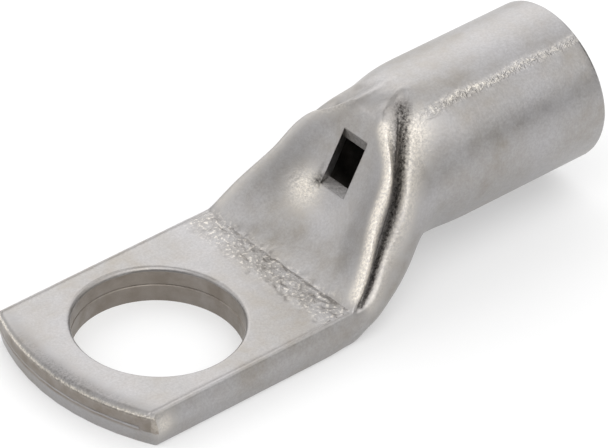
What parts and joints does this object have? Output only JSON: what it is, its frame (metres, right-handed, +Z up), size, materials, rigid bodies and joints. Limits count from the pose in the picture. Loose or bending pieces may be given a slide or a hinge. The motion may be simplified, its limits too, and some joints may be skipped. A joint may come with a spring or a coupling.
{
  "type": "cable lug",
  "caption": "Tubular copper cable lug, tin plated: a flat palm with a bolt hole, a pressed neck with a sight window and a round barrel that is crimped onto a cable.",
  "frame": {"origin": "axis of the bolt hole at the palm's underside, which is the face that lies on the busbar", "axes": "+X from the bolt hole along the lug to the cable's end, +Y across the palm, +Z up from the palm's underside"},
  "size_m": [0.0489, 0.0176, 0.0143],
  "materials": {
    "tinned_copper": "satin tin plating over pressed copper, slightly mottled, with scuffs and bright worn ridges"
  },
  "bodies": {
    "root": {"lug": "tinned_copper"}
  },
  "joints": []
}
